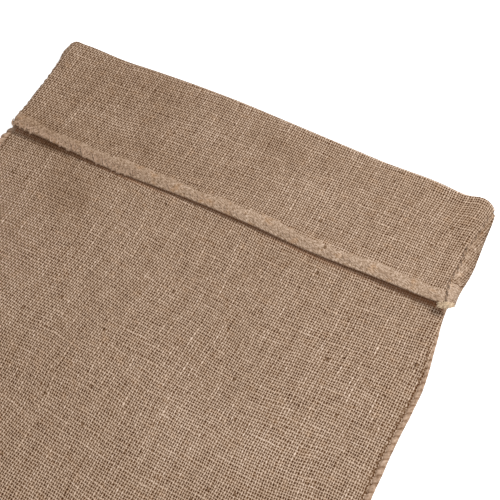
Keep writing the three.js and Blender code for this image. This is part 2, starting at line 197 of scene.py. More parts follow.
def softbox(name, x, down, z, size, watts):
    """A square area light, with its size in metres, that faces the lit point."""
    light = bpy.data.lights.new(name, "AREA")
    light.size = size
    light.energy = watts
    stand(name, light, place(x, down, z), LIT_POINT - place(x, down, z))


softbox("key_softbox", x=1000, down=-800, z=1600, size=0.7, watts=41)
softbox("fill_softbox", x=200, down=1500, z=1800, size=1.6, watts=11)

# %% [markdown]
# ## The folded cloth
#
# The hessian runs from one mouth edge to the other: in along the flap's inner layer, round the fold, down
# the front, round the bottom, up the back, round the fold again and down the flap's outer layer. A cloth
# simulation would lose the exact outline, so we write this path as a short list of straight runs and
# bends, and read the sack's unevenness from small tables measured across it and down it.

# %% Tables of the folded sack
def table(columns, *rows):
    """Each row's numbers, under the names of their columns."""
    return [dict(zip(columns.split(), row)) for row in rows]


# How far the fold's crest lies down from the fold line, across the sack.
FOLD_CREST = table(
    "x down",
    (-250, -3), (-238, -2.4), (-225, -2.8), (-186, -1.8), (-150, -3.9), (-113, -5.8), (-77, -6.8),
    (-41, -7), (-5, -6.1), (42, -4.8), (89, -3.5), (123, -2.6), (146, -3.2), (172, -4.1),
    (190, -3.5), (212, -1.9), (221, -3.5), (229, -6), (250, -5.6),
)
# How far the hem's edge lies below its mean line, how far the flap stands off the body there, and how
# far the thick hem slumps back down.
ACROSS = table(
    "x hem lift slump",
    (-250, -1.5, 2.6, 0), (-215, -1, 2.6, 0), (-180, -1, 1.3, 0.4), (-130, -0.4, 0.3, 0.9),
    (-90, -1.8, 0.1, 1), (-35, -3.4, 0.1, 0.9), (35, -3.5, 0.2, 1), (68, -2.4, 0.2, 1),
    (100, -1.6, 0.2, 0.9), (150, -2.5, 0.5, 0.8), (172, -2.5, 0.9, 0.5), (200, -2.1, 1.8, 0.2),
    (229, -1.5, 2.6, 0), (240, -2.2, 2.6, 0), (250, -3, 2.6, 0),
)
# Where the layers of the body and of the flap end at their left and right, down the sack.
BODY_EDGES = table(
    "down left back front",
    (0, -243.5, 242, 242), (18, -243, 237.5, 237.5), (40, -243, 237, 237), (112, -244.5, 236, 236),
    (124, -244.6, 236, 239), (136, -246.8, 236, 242), (146, -248.6, 237, 243.8),
    (170, -249.2, 240, 245.4), (188, -249.2, 245, 247.4), (205, -249, 248, 248.8),
    (230, -248.8, 247.6, 247.8), (255, -248.8, 246.5, 246.7), (290, -248.6, 244.6, 244.6),
    (BODY_LENGTH, -249, 244.4, 244.4),
)
FLAP_EDGES = table(
    "down inner_left outer_left inner_right outer_right",
    (0, -243, -251.6, 241, 246.4), (7, -243, -252.8, 241, 248.3), (13, -243, -252.3, 241.5, 248.3),
    (19, -243, -251.5, 242, 245.6), (26, -243, -249.9, 242.5, 244.8),
    (45, -243, -248.8, 243.5, 246.5), (61, -243, -248.2, 244, 247.2),
    (76, -243, -249.8, 244, 247.5), (105, -243, -248.4, 243.4, 245.6),
    (116, -243, -248.9, 243, 245), (FLAP_DEPTH, -242, -246.2, 242, 244),
)
# Soft rises: where each has its top, its reach across and along when turned by some degrees, its height.
RISE_COLUMNS = "x down across along turn height"
BODY_RISES = table(
    RISE_COLUMNS,
    (150, 235, 70, 75, 20, 1.6), (-150, 210, 60, 45, -25, 1.1), (-60, 330, 95, 50, 15, 1.4),
    (120, 420, 60, 90, -10, 1.2), (-140, 500, 80, 70, 30, 1.3),
)
FLAP_RISES = table(
    RISE_COLUMNS,
    (-205, 60, 38, 42, 0, 0.9), (-60, 70, 75, 30, 5, 0.8), (120, 62, 60, 34, -8, 1),
)


# %% Reading the tables
def ease(first, second, value):
    """0 at the first place, 1 at the second, and a soft S between them."""
    share = np.clip((np.asarray(value, float) - first) / (second - first), 0, 1)
    return share * share * (3 - 2 * share)


def read(rows, column, value, key=None):
    """A smooth curve through a column of a table over its first one, read at one or many places."""
    key = key or next(iter(rows[0]))
    keys = np.array([row[key] for row in rows], float)
    values = np.array([row[column] for row in rows], float)
    order = np.arange(len(rows))
    before, after = np.maximum(order - 1, 0), np.minimum(order + 1, len(rows) - 1)
    slopes = (values[after] - values[before]) / (keys[after] - keys[before])
    value = np.clip(np.asarray(value, float), keys[0], keys[-1])
    i = np.clip(np.searchsorted(keys, value, side="right") - 1, 0, len(rows) - 2)
    span = keys[i + 1] - keys[i]
    t = (value - keys[i]) / span
    rise = values[i + 1] - values[i]
    start, end = slopes[i] * span, slopes[i + 1] * span
    return values[i] + t * (start + t * (3 * rise - 2 * start - end + t * (start + end - 2 * rise)))


def rises(rows, x, down):
    """The height of a table's soft rises."""
    height = 0.0
    for row in rows:
        turn = math.radians(row["turn"])
        dx, dd = x - row["x"], down - row["down"]
        across = (dx * math.cos(turn) + dd * math.sin(turn)) / row["across"]
        along = (dd * math.cos(turn) - dx * math.sin(turn)) / row["along"]
        height = height + row["height"] * np.exp(-across * across - along * along)
    return height

# %% Lines and layer heights
LEFT_EDGE, RIGHT_EDGE = -254, 250
CORNER_LEFT, CORNER_RIGHT, CORNER_BOTTOM = 11.5, 20, 8
BACK_HEIGHT = CLOTH / 2
# The fold springs open, and is flat again at FOLD_REACH. From LIFT_FROM on the flap lifts off the body.
FOLD_SPRING, FOLD_REACH, LIFT_FROM, PUFF_REACH = 2.2, 60, 20, 30
# Over the turned-in hem the flap climbs a ramp to its ridge, and slumps beyond it.
HEM_RAMP, RIDGE, SLUMP_REACH = 26, 121, 9
# A zone is the place where something starts and the one where it is complete. At the lower right the
# flap and the front make room for the seam, and the flap's left edge rolls over the left seam.
RIGHT_SEAM_ROOM, ROOM_ACROSS, ROOM_START, ROOM_END = 1.9, (212, 236), (100, 116), (214, 190)
LEFT_SEAM_ROOM, ROLL_ACROSS, ROLL_START = 1.7, (-225, -243), (8, 24)
# The front's right edge curls down beside the seam and dips into the welt, and the flap's left edge curls.
FRONT_CURL, FRONT_CURL_REACH = 2.2, 4.5
WELT_DIP, WELT_DIP_REACH, WELT_DIP_START = 1.1, 3, (186, 204)
FLAP_CURL, FLAP_CURL_ACROSS = 2.4, (-245.5, -251)


def corner_pull(x, left, right):
    """How far rounded corners with these radii pull the cloth's end in at x."""
    pull = 0
    for radius, from_edge in ((left, x - LEFT_EDGE), (right, RIGHT_EDGE - x)):
        inside = radius * (1 - np.clip(from_edge / radius, 0, 1))
        pull = pull + (radius - np.sqrt(radius * radius - inside * inside))
    return pull


def fold_line(x):
    return read(FOLD_CREST, "down", x) + corner_pull(x, CORNER_LEFT, CORNER_RIGHT)


def hem_line(x):
    return FLAP_DEPTH + read(ACROSS, "hem", x)


def bottom_line(x):
    return BODY_LENGTH - corner_pull(x, CORNER_BOTTOM, CORNER_BOTTOM)


def back_height(x, down):
    return BACK_HEIGHT + 0 * x


def front_height(x, down):
    ends = ease(0, FOLD_REACH, down) * ease(BODY_LENGTH, BODY_LENGTH - FOLD_REACH, down)
    over_seam = ease(*ROOM_ACROSS, x) * ease(*ROOM_START, down) * ease(*ROOM_END, down)
    to_edge = read(BODY_EDGES, "front", down) - x
    curl = FRONT_CURL * ease(FRONT_CURL_REACH, 0, to_edge) ** 2 * over_seam
    into_welt = WELT_DIP * ease(WELT_DIP_REACH, 0, to_edge) * ease(*WELT_DIP_START, down)
    rise = rises(BODY_RISES, x, down) * ends
    return BACK_HEIGHT + LAYER_STEP + rise + RIGHT_SEAM_ROOM * over_seam - curl - into_welt


def inner_height(x, down):
    lift = read(ACROSS, "lift", x) * ease(LIFT_FROM, FLAP_DEPTH, down)
    over_seam = RIGHT_SEAM_ROOM * ease(*ROOM_ACROSS, x) * ease(*ROOM_START, down)
    flat = BACK_HEIGHT + LAYER_STEP + rises(BODY_RISES, x, down) * ease(0, FOLD_REACH, down)
    return flat + over_seam + LAYER_STEP + FOLD_SPRING * ease(FOLD_REACH, 0, down) + lift


def outer_height(x, down):
    on_hem = 2 * LAYER_STEP * ease(RIDGE - HEM_RAMP, RIDGE, down)
    on_hem = on_hem * (1 - read(ACROSS, "slump", x) * ease(RIDGE, RIDGE + SLUMP_REACH, down))
    left_room = LEFT_SEAM_ROOM * ease(*ROLL_ACROSS, x) * ease(*ROLL_START, down)
    puff = rises(FLAP_RISES, x, down) * ease(0, PUFF_REACH, down)
    curl = FLAP_CURL * ease(*FLAP_CURL_ACROSS, x) ** 2
    return inner_height(x, down) + LAYER_STEP + on_hem + left_room + puff - curl


def inner_turn_height(x, down):
    return inner_height(x, down) + LAYER_STEP


def outer_turn_height(x, down):
    return outer_height(x, down) - LAYER_STEP


def side_edges(layer, down):
    """Where a layer ends at its left and right."""
    if layer in (front_height, back_height):
        column = "front" if layer is front_height else "back"
        return read(BODY_EDGES, "left", down), read(BODY_EDGES, column, down)
    side = "outer" if layer is outer_height else "inner"
    return read(FLAP_EDGES, side + "_left", down), read(FLAP_EDGES, side + "_right", down)


# %% The cloth's path
# The mouth's inner hem lies this far back from the outer one, which can then slump on to the body.
INNER_HEM_BACK = 9
# From here down the front comes into sight under the hem, so its rows lie closer.
FRONT_SHOWS = 118


def fold_centre(x):
    down = fold_line(x)
    return down + CLOTH / 2 + (outer_height(x, down) - BACK_HEIGHT) / 2


def bottom_centre(x):
    down = bottom_line(x)
    return down - CLOTH / 2 - (front_height(x, down) - BACK_HEIGHT) / 2


def hem_centre(x):
    return hem_line(x) - CLOTH / 2 - LAYER_STEP / 2


def inner_hem_centre(x):
    return hem_centre(x) - INNER_HEM_BACK


def inner_turn_end(x):
    return hem_line(x) - INNER_HEM_BACK - HEM_TURN + 2


def turn_end(x):
    return hem_line(x) - HEM_TURN


# Each run goes along one layer, in rows about `step` apart. Where it has bend rows, the cloth then bends
# over to the next run's layer, bulging down the sack (1) or up it (-1).
RUNS = table(
    "layer start end step bulge bend_rows",
    (inner_turn_height, inner_turn_end, inner_hem_centre, 4, 1, 8),
    (inner_height, inner_hem_centre, fold_centre, 9, -1, 8),
    (front_height, fold_centre, FRONT_SHOWS, 12, 0, 0),
    (front_height, FRONT_SHOWS, bottom_centre, 4, 1, 8),
    (back_height, bottom_centre, fold_centre, 12, -1, 16),
    (outer_height, fold_centre, hem_centre, 2.6, 1, 10),
    (outer_turn_height, hem_centre, turn_end, 4, 0, 0),
)

# Columns stand close together near both side edges, and further apart between them.
EDGE_ZONE, EDGE_STEP, MIDDLE_STEP = 14, 1.2, 5.0
edge_shares = np.arange(0, EDGE_ZONE, EDGE_STEP) / SACK_WIDTH
middle_count = round((SACK_WIDTH - 2 * EDGE_ZONE) / MIDDLE_STEP)
middle_shares = np.linspace(EDGE_ZONE, SACK_WIDTH - EDGE_ZONE, middle_count) / SACK_WIDTH
COLUMNS = np.concatenate([edge_shares, middle_shares, 1 - edge_shares[::-1]])


def at(line, x):
    """Where a line, a function of x or one number, lies at x."""
    return line(x) if callable(line) else line + 0 * x


def path_rows():
    """Rows of points (x, down, z) across the cloth, in the order of the path."""
    zero = np.zeros(1)
    rows = []
    for run, following in zip(RUNS, RUNS[1:] + RUNS[-1:]):
        first, second, start, end = run["layer"], following["layer"], run["start"], run["end"]
        from_line, to_line = at(start, zero)[0], at(end, zero)[0]
        count = max(1, round(abs(to_line - from_line) / run["step"]))
        for share in np.linspace(0, 1, count + 1)[1:-1]:
            left, right = side_edges(first, from_line + (to_line - from_line) * share)
            x = left + (right - left) * COLUMNS
            down = at(start, x) * (1 - share) + at(end, x) * share
            rows.append(np.stack([x, down, first(x, down)], axis=1))
        if run["bend_rows"] == 0:
            continue
        (left_a, right_a), (left_b, right_b) = side_edges(first, to_line), side_edges(second, to_line)
        for share in np.linspace(0, 1, run["bend_rows"] + 1):
            soft = ease(0, 1, share)
            left, right = left_a + (left_b - left_a) * soft, right_a + (right_b - right_a) * soft
            x = left + (right - left) * COLUMNS
            down = end(x)
            low, high = first(x, down), second(x, down)
            down = down + run["bulge"] * np.abs(high - low) / 2 * math.sin(math.pi * share)
            z = low + (high - low) * (1 - math.cos(math.pi * share)) / 2
            rows.append(np.stack([x, down, z], axis=1))
    return np.array(rows)


grid = path_rows()
print("rows and columns of the cloth:", grid.shape[:2])

# %% [markdown]
# ## Threads
#
# Hessian is a plain weave: each warp thread goes over one weft and under the next. The shader needs to
# know which threads cross at each point, so every point of the cloth carries two numbers, its count of
# warps from the centre and of wefts along the path. Real cloth is never square: its wefts bow and slant.

# %% Thread counts
# How far the front's wefts hang down across the sack, and its warps lean over down the sack.
WEFT_BOW = table(
    "x down",
    (-250, 0), (-170, 0), (-110, 2), (-50, 7), (20, 13.5), (60, 17), (100, 19.5), (130, 20),
    (160, 18.6), (200, 16), (250, 15),
)
WARP_DRIFT = table(
    "down x",
    (0, 0), (200, 0), (240, -1.5), (300, -5), (340, -5.5), (380, -3), (BODY_LENGTH, -3),
)
# How far the inner edge of the flap's seam strip stands from x = STRIP_X, down the flap.
STRIP_X = 240
STRIP_LINE = table(
    "down x",
    (0, 4), (20, 3), (50, -1), (90, -4), (FLAP_DEPTH, -4),
)
# The threads lie a little closer towards one side, and the wefts are counted on from this line.
WARP_SPREAD, WEFT_SPREAD, BOW_AT = 3.3e-5, 2.9e-5, 250
# The flap's wefts slant and its warps lean over, and near the strip they follow it.
FLAP_SLANT, FLAP_LEAN, LEAN_FROM, STRIP_PULL = -0.022, -0.045, 60, (165, 236)
# The body's count changes to the flap's under the sack, between these distances before the flap. A row
# below BOW_AT is the front's if it stands above FRONT_ABOVE.
CHANGE_START, CHANGE_END, FRONT_ABOVE = 180, 30, 1.5

middle = grid[:, grid.shape[1] // 2]
along = np.concatenate([[0], np.cumsum(np.linalg.norm(np.diff(middle, axis=0), axis=1))])
front_rows = np.flatnonzero((middle[:, 1] > BOW_AT) & (middle[:, 2] > FRONT_ABOVE))
front_start = along[front_rows[0]] - middle[front_rows[0], 1]
flap_start = along[-1] - HEM_TURN - FLAP_DEPTH
print(f"cut length along the path: {along[-1]:.0f} mm")
print(f"the front starts at {front_start:.0f} mm and the flap at {flap_start:.0f} mm")


def body_threads(x, down):
    """Warp and weft counts on the front, and round to the back."""
    shifted = x - read(WARP_DRIFT, "x", down)
    warps = shifted / WARP_PITCH - WARP_SPREAD * x * x
    wefts = (down - BOW_AT - read(WEFT_BOW, "down", x)) * (1 / WEFT_PITCH - WEFT_SPREAD * x)
    return warps, wefts + BOW_AT / WEFT_PITCH


def flap_threads(x, down):
    """Warp and weft counts on the flap, whose warps follow the seam on its right."""
    seam = read(STRIP_LINE, "x", down) * ease(*STRIP_PULL, x)
    warps = (x - FLAP_LEAN * (down - LEAN_FROM) - seam) / WARP_PITCH
    wefts = (down - FLAP_SLANT * x) / WEFT_PITCH
    return warps, wefts


def cloth_threads(grid, along):
    """Warp and weft counts for each point of the cloth; they change over under the sack."""
    x = grid[:, :, 0]
    share = ease(flap_start - CHANGE_START, flap_start - CHANGE_END, along)[:, None]
    body = body_threads(x, (along - front_start)[:, None])
    flap = flap_threads(x, (along - flap_start)[:, None])
    return [b * (1 - share) + f * share for b, f in zip(body, flap)]


warps, wefts = cloth_threads(grid, along)

# %% Seam tables
# How high the seams are on the body and on the flap, and how far they keep from what they lie on.
SEAM_HEIGHT, FLAP_SEAM_HEIGHT, REST_GAP = 2.8, 2.2, 0.3
# Each seam's middle and width, from its start near the bottom fold up the body, round the flap's fold and
# down the flap.
SEAM_START = BODY_LENGTH - 5
RIGHT_SEAM_BODY = table(
    "down x width",
    (SEAM_START, 246.4, 6.4), (560, 246.6, 6.4), (420, 246.4, 6.4), (290, 246.8, 6),
    (250, 248.7, 5.6), (218, 250, 5.2), (202, 249.6, 4.4), (186, 247.6, 4.2), (168, 244.9, 4.6),
    (140, 241, 5), (110, 240, 5), (60, 241, 5), (26, 243, 5), (12, 244, 4),
)
RIGHT_SEAM_FOLD = table(
    "down x width z",
    (8, 244, 3.6, 2), (6.6, 244, 3.4, 3.4), (7.2, 244.6, 3.4, 4.8), (10, 246.7, 4.2, 5.6),
)
RIGHT_SEAM_FLAP = table(
    "down x width",
    (15, 247, 4.8), (21, 246.9, 6), (35, 246.3, 7.6), (49, 245.1, 10.6), (60, 243.9, 13.6),
    (78, 244.7, 13.8), (90, 243.9, 14.4), (101, 242.6, 15), (110, 242.8, 12.6), (119, 243.2, 10.6),
    (128, 244.6, 8.6),
)
LEFT_SEAM_BODY = table(
    "down x width",
    (SEAM_START, -250.2, 7.4), (560, -250.4, 7.4), (420, -250.2, 7.4), (300, -250.4, 7.6),
    (200, -251, 8), (146, -251.6, 8.2), (134, -249.8, 7), (120, -246.6, 6), (70, -246.4, 5.6),
    (26, -246.6, 5.2),
)
LEFT_SEAM_FOLD = table(
    "down x width z",
    (21.4, -246.7, 5, 1.9), (20.2, -246.7, 5, 3.3), (21.4, -246.7, 5, 4.7),
)
LEFT_SEAM_FLAP = table(
    "down x width",
    (26, -246.8, 5.2), (56, -246.8, 5.4), (98, -246.8, 5.6), (112, -246.8, 5.6), (123, -246.4, 5.2),
)


# %% Felted hem, patches of tone, painted shade and a painted highlight
# Soft patches of tone, from -1 dark to 1 light. They are partly the cloth's own uneven tone, and partly
# painted shade and painted light that stand for the soft shading of the sack's puffs and of the light across
# it.
FLAP_TONES = table(
    RISE_COLUMNS,
    (-190, 35, 60, 40, 0, -0.5), (-120, 20, 40, 20, 10, -0.5), (-150, 75, 24, 14, 0, 0.5),
    (-60, 45, 30, 22, 0, 0.35), (20, 30, 35, 18, 0, -0.35), (75, 70, 30, 30, 0, 0.35),
    (-120, 105, 110, 45, 0, -0.55), (-225, 122, 45, 14, 0, -1), (150, 85, 90, 40, 0, 0.2),
)
BODY_TONES = table(
    RISE_COLUMNS,
    (-150, 180, 26, 26, 0, -0.7), (-215, 225, 16, 14, 0, -0.5), (100, 345, 80, 45, -10, 0.6),
    (10, 270, 60, 60, 0, 0.2), (190, 260, 70, 110, 0, 0.35), (-120, 400, 60, 50, 0, -0.2),
    (-180, 150, 50, 40, 0, -0.4),
)


# The hem is felted up to here. The mouth stands open over this zone, where the cloth under it gets painted
# shade, and at its very corner painted light instead.
HEM_FELT, HEM_SHADE = (HEM_TURN * 2 + 1.5, HEM_TURN * 2 - 8), 0.15
OPEN_MOUTH, MOUTH_CORNER = (-140, -190), (-220, -246)
# Distances past the hem's edge: where painted shade darkens the gap under it, and how far its soft painted
# shade reaches out.
GAP_START, GAP_CLEAR, GAP_IN_MOUTH = (-16, -6), 3, 0.4
MOUTH_SHADE, CORNER_SHADE, SHADE_REACH = 0.4, 2.2, (19, 1)
# The mouth gapes widest here, and the cloth under it gets the deepest painted shade.
GAPE_X, GAPE_REACH, GAPE_SHADE, GAPE_IN, GAPE_OUT = -204, 20, 1.3, (-8, -2), (9, 2)
# The fold's crest gets a painted highlight, least at its left.
CREST_LIGHT, CREST_REACH, CREST_ACROSS = 1.2, (5, 1), (-170, -60)


def cloth_felt_tone_and_painted_light(grid, along):
    """For each point: how felted it is; its tone, with painted shade under the mouth and a painted highlight
    on the fold's crest; and how much painted shade the gap under the hem gets.
    """
    x, down = grid[:, :, 0], grid[:, :, 1]
    hem_reach = (along[-1] - along)[:, None] + 0 * x
    # The felt's edge wavers in two waves.
    edge_wave = 1.5 * np.sin(x / 23) + np.sin(x / 9 + 2)
    hem = ease(HEM_FELT[0] + edge_wave, HEM_FELT[1] + edge_wave, hem_reach)
    on_flap = (along > flap_start)[:, None]
    on_front = (along < along[-1] / 2)[:, None]
    tones = rises(FLAP_TONES, x, down) * on_flap + rises(BODY_TONES, x, down) * on_front
    # Painted shade: deep in the gap under the hem, where light only comes back from the jute itself, the
    # cloth is painted browner. Under the open mouth, and most where it gapes widest, its tone is painted
    # darker.
    past = down - hem_line(x)
    open_mouth = ease(*OPEN_MOUTH, x)
    gap = ease(*GAP_START, past) * ease(GAP_CLEAR + read(ACROSS, "lift", x), -1, past) * on_front
    gap = gap * (1 - GAP_IN_MOUTH * open_mouth)
    shaded = open_mouth - CORNER_SHADE * ease(*MOUTH_CORNER, x)
    shade = MOUTH_SHADE * ease(*SHADE_REACH, past) ** 2 * shaded * on_front
    gape = np.exp(-(((x - GAPE_X) / GAPE_REACH) ** 2)) * ease(*GAPE_OUT, past) * ease(*GAPE_IN, past)
    shade = shade + GAPE_SHADE * gape * on_front
    tones = tones - shade - HEM_SHADE * hem * on_flap
    crest = ease(*CREST_REACH, np.abs(down - fold_line(x) - 1)) * ease(*CREST_ACROSS, x) * on_flap
    return np.stack([hem, tones + CREST_LIGHT * crest, gap], axis=-1)


# The grooves beside the seams below the flap are painted dark, as painted shade, and start sooner at the
# left.
GROOVE_SHADE, GROOVE_START, GROOVE_SOONER = 0.65, (150, 190), 40


def seam_side(rows, down, side):
    """Where a seam's left side (-1) or right side (1) runs."""
    return read(rows, "x", down) + side * read(rows, "width", down) / 2


def seam_grooves(grid, along):
    """For each point: how far inside the nearest seam it is, its stitch along that seam, and how much painted
    shade its groove gets.
    """
    x, down = grid[:, :, 0], grid[:, :, 1]
    on_flap = (along > flap_start)[:, None]
    on_front = (along < along[-1] / 2)[:, None]
    strip_edge = STRIP_X + read(STRIP_LINE, "x", down)
    distance = np.where(on_flap, strip_edge, seam_side(RIGHT_SEAM_BODY[::-1], down, -1)) - x
    distance = np.where(x < 0, x - seam_side(LEFT_SEAM_BODY[::-1], down, 1), distance)
    stitches = np.where(on_flap, down, SEAM_START - down) / STITCH_PITCH + 0.5
    share = np.where(on_flap, 0, GROOVE_SHADE * ease(*GROOVE_START, down + GROOVE_SOONER * (x < 0)))
    share = share * (on_flap | on_front)
    return np.stack([distance, stitches, share], axis=-1)


# %% Meshes from grids
def grid_faces(rows, columns):
    """Quads between neighbouring rows and columns of points."""
    i, j = np.meshgrid(np.arange(rows - 1), np.arange(columns - 1), indexing="ij")
    a = i * columns + j
    return np.stack([a, a + columns, a + columns + 1, a + 1], axis=-1).reshape(-1, 4)


def tube_faces(rings, sides):
    """Quads round a tube made of rings, and a face over each of its two ends."""
    ring, side = np.divmod(grid_faces(rings, sides + 1), sides + 1)
    ends = [np.arange(sides)[::-1], (rings - 1) * sides + np.arange(sides)]
    return ring * sides + side % sides, ends


def mesh_object(name, points, faces, material, attributes):
    """A smooth mesh from points in the sack's millimetres, with vector attributes on its points."""
    mesh = bpy.data.meshes.new(name)
    places = (np.array(points) * [1, -1, 1] + [CENTRE_X, FOLD_Y, 0]) * MM
    mesh.from_pydata(places.tolist(), [], [list(face) for face in faces])
    for key, values in attributes.items():
        layer = mesh.attributes.new(key, "FLOAT_VECTOR", "POINT")
        layer.data.foreach_set("vector", np.asarray(values, np.float32).ravel())
    mesh.shade_smooth()
    mesh.materials.append(material)
    piece = bpy.data.objects.new(name, mesh)
    scene.collection.objects.link(piece)
    return piece


# %% [markdown]
# ## Hessian
#
# Hessian is woven from hairy, unbleached jute yarn, so it is quite matt, and each yarn has its own tone
# and changes in thickness. Between the yarns there are small holes, except where loose fibre has
# filled them. The colour paints shade into the holes and along the yarns' sides, and a highlight on their
# crowns.

# %% Woven hessian
HOLE_SHADE_COLOUR, YARN_EDGE, YARN_BODY, YARN_CROWN = "#33180a", "#4d3018", "#7b644f", "#bfa894"
TAN_FIBRE, GAP_SHADE_COLOUR = "#a87a48", "#855839"
# The phase of the painted light on the yarns' flanks.
FLANK_LIGHT_PHASE = math.radians(65)
# The powers of green and blue that redden dark jute and its painted shade, in the cloth and in the creases of
# its yarn.
CLOTH_REDDENS, YARN_REDDENS = (1.23, 1.5), (1.25, 1.5)
TINTED = dict(data_type="RGBA", blend_type="MULTIPLY")


def matt_surface(add, colour, height, raised, roughness):
    """Matt, hairy fibre, which a height raises by up to so many metres."""
    bump = add("Bump", {"Height": height, "Strength": 0.6, "Distance": raised})
    surface = {"Base Color": (colour, 2), "Roughness": roughness, "Specular IOR Level": 0.02}
    shader = add("BsdfPrincipled", {**surface, "Normal": bump})
    add("OutputMaterial", {"Surface": shader})


def yarn_set(add, threads, mine, other, seed, half_width):
    """One set of parallel yarns: which yarn is here, how round it stands, and its tone."""
    count = add("SeparateXYZ", [threads])
    here = add("CombineXYZ", ((count, mine), (count, other), seed))
    # The yarns wander together, stand unevenly spaced, and waver each by itself.
    where = (count, mine)
    for stretch, detail, reach in (
        ((0.035, 0.035, 1), 1.0, 2.2),
        ((0.6, 0.06, 1), 1.0, 1.0),
        ((0.2, 0.25, 1), 2.0, 0.65),
    ):
        drift = uneven(add, here, stretch, detail)
        where = add("MULTIPLY_ADD", (drift, reach, where))
    index = add("FLOOR", [where])
    inside = add("FRACT", [where])
    off = add("SUBTRACT", (inside, 0.5))
    off = add("ABSOLUTE", [off])
    yarn = add("CombineXYZ", (index, (count, other), seed + 7))
    swell = uneven(add, yarn, (7.3, 0.45, 1), 2.0)
    thinnest, thickest = half_width * 0.62, half_width * 1.45
    width = add("MapRange", between(swell, 0.25, 0.75, thinnest, thickest))
    # The yarn stands highest in its middle. The colour ramp gives its sides painted shade and its middle a
    # painted highlight.
    side = add("DIVIDE", (off, width))
    side = add("MINIMUM", (side, 1.0))
    side = add("POWER", (side, 2.2))
    round_top = add("SUBTRACT", (1.0, side))
    own = add("CombineXYZ", (index, seed, 0.5))
    own = add("TexWhiteNoise", {"Vector": own}, noise_dimensions="3D")
    change = uneven(add, yarn, (3.1, 0.13, 1), 4.0)
    change = add("MapRange", between(change, 0.3, 0.7))
    tone = add("Mix", {0: 0.75, 2: (own, "Value"), 3: change}, data_type="FLOAT")
    return dict(index=index, place=where, round_top=round_top, tone=tone)


